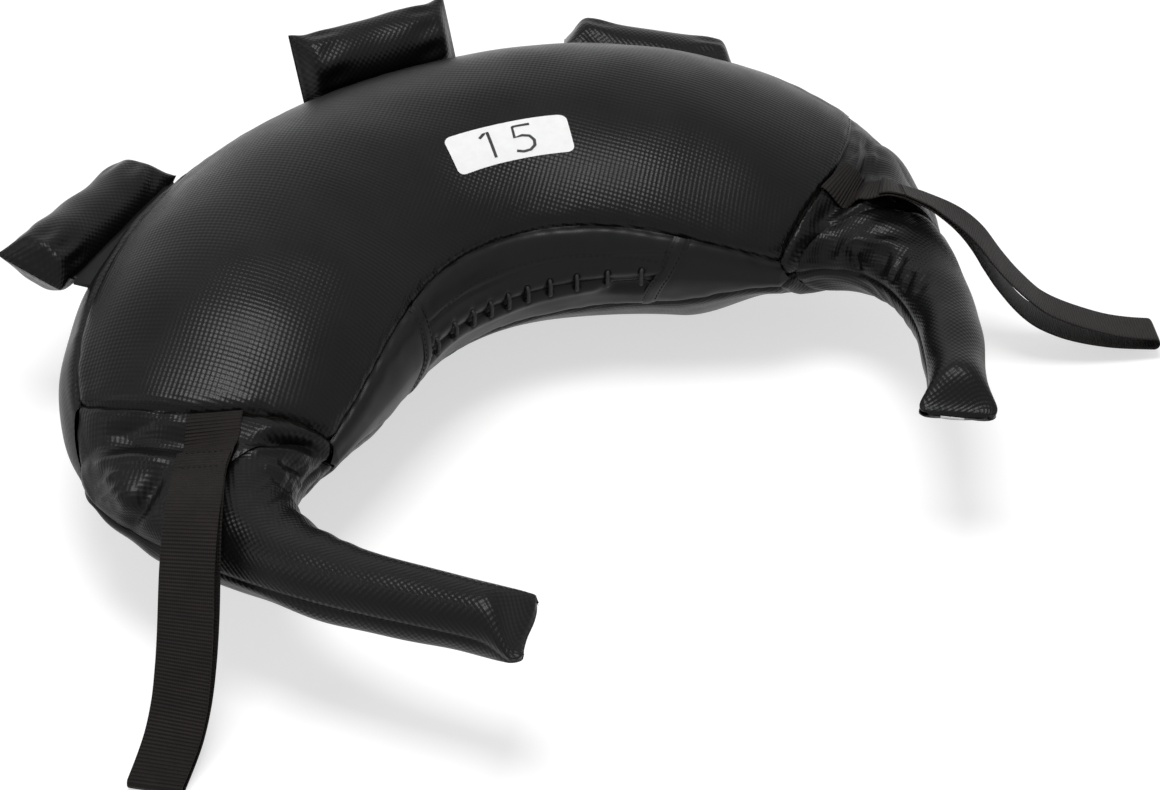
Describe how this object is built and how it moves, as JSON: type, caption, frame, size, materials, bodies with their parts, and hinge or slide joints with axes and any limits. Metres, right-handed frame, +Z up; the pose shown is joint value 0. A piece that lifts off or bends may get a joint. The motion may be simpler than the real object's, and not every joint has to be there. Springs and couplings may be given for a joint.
{
  "type": "sandbag trainer",
  "caption": "Crescent-shaped weighted training bag with two soft handles, webbing straps and roll grips.",
  "frame": {"origin": "on the floor, under the middle of the crescent's centre line", "axes": "+Z up, +Y towards the crescent's outer side, +X towards the right handle, seen from the handles"},
  "size_m": [0.7594, 0.5333, 0.1731],
  "materials": {
    "embossed_skin": "black coated fabric with a fine basket-weave emboss, semi-gloss",
    "smooth_skin": "black smooth coated fabric, semi-gloss",
    "webbing": "ribbed brown-black webbing, matt",
    "cord": "black waxed cord",
    "canvas": "plain grey canvas",
    "foam": "closed-cell foam, matt"
  },
  "bodies": {
    "bag": {"top_panel": "embossed_skin", "bottom_panel": "embossed_skin", "outer_gusset": "embossed_skin", "inner_gusset_left": "smooth_skin", "inner_gusset_right": "smooth_skin", "placket_upper_flap": "smooth_skin", "placket_lower_flap": "smooth_skin", "placket_binding_left": "smooth_skin", "placket_binding_right": "smooth_skin", "closure_lacing": "cord", "end_panel_upper_left": "embossed_skin", "end_panel_lower_left": "embossed_skin", "end_panel_upper_right": "embossed_skin", "end_panel_lower_right": "embossed_skin", "handle_cover_upper_left": "embossed_skin", "handle_cover_lower_left": "embossed_skin", "handle_cover_upper_right": "embossed_skin", "handle_cover_lower_right": "embossed_skin", "handle_core_left": "foam", "handle_core_right": "foam", "filler_bag": "canvas", "strap_root_left": "webbing", "strap_root_right": "webbing", "grip_tab_left": "smooth_skin", "grip_tab_centre": "smooth_skin", "grip_tab_right": "smooth_skin"},
    "strap_left": {"strap_loop_left": "webbing"},
    "strap_right": {"strap_loop_right": "webbing"},
    "grip_left": {"grip_cover_left": "embossed_skin", "grip_core_left": "foam"},
    "grip_centre": {"grip_cover_centre": "embossed_skin", "grip_core_centre": "foam"},
    "grip_right": {"grip_cover_right": "embossed_skin", "grip_core_right": "foam"}
  },
  "joints": [
    {"name": "strap_left_hinge", "type": "hinge", "parent": "bag", "child": "strap_left", "pos_m": [-0.24868, -0.19045, 0.1155], "axis": [-0.7199, 0.6505, -0.2419], "range_deg": [0, 110]},
    {"name": "strap_right_hinge", "type": "hinge", "parent": "bag", "child": "strap_right", "pos_m": [0.24878, -0.18979, 0.12054], "axis": [-0.465, -0.7863, 0.4067], "range_deg": [0, 110]},
    {"name": "grip_left_hinge", "type": "hinge", "parent": "bag", "child": "grip_left", "pos_m": [-0.18834, 0.04707, 0.11603], "axis": [0.8341, 0.5516, 0], "range_deg": [-15, 55]},
    {"name": "grip_centre_hinge", "type": "hinge", "parent": "bag", "child": "grip_centre", "pos_m": [0.03058, 0.10818, 0.11401], "axis": [0.9952, -0.0981, 0], "range_deg": [-75, 0]},
    {"name": "grip_right_hinge", "type": "hinge", "parent": "bag", "child": "grip_right", "pos_m": [0.20461, 0.03702, 0.11527], "axis": [0.7993, -0.5846, -0.1392], "range_deg": [0, 80]}
  ]
}
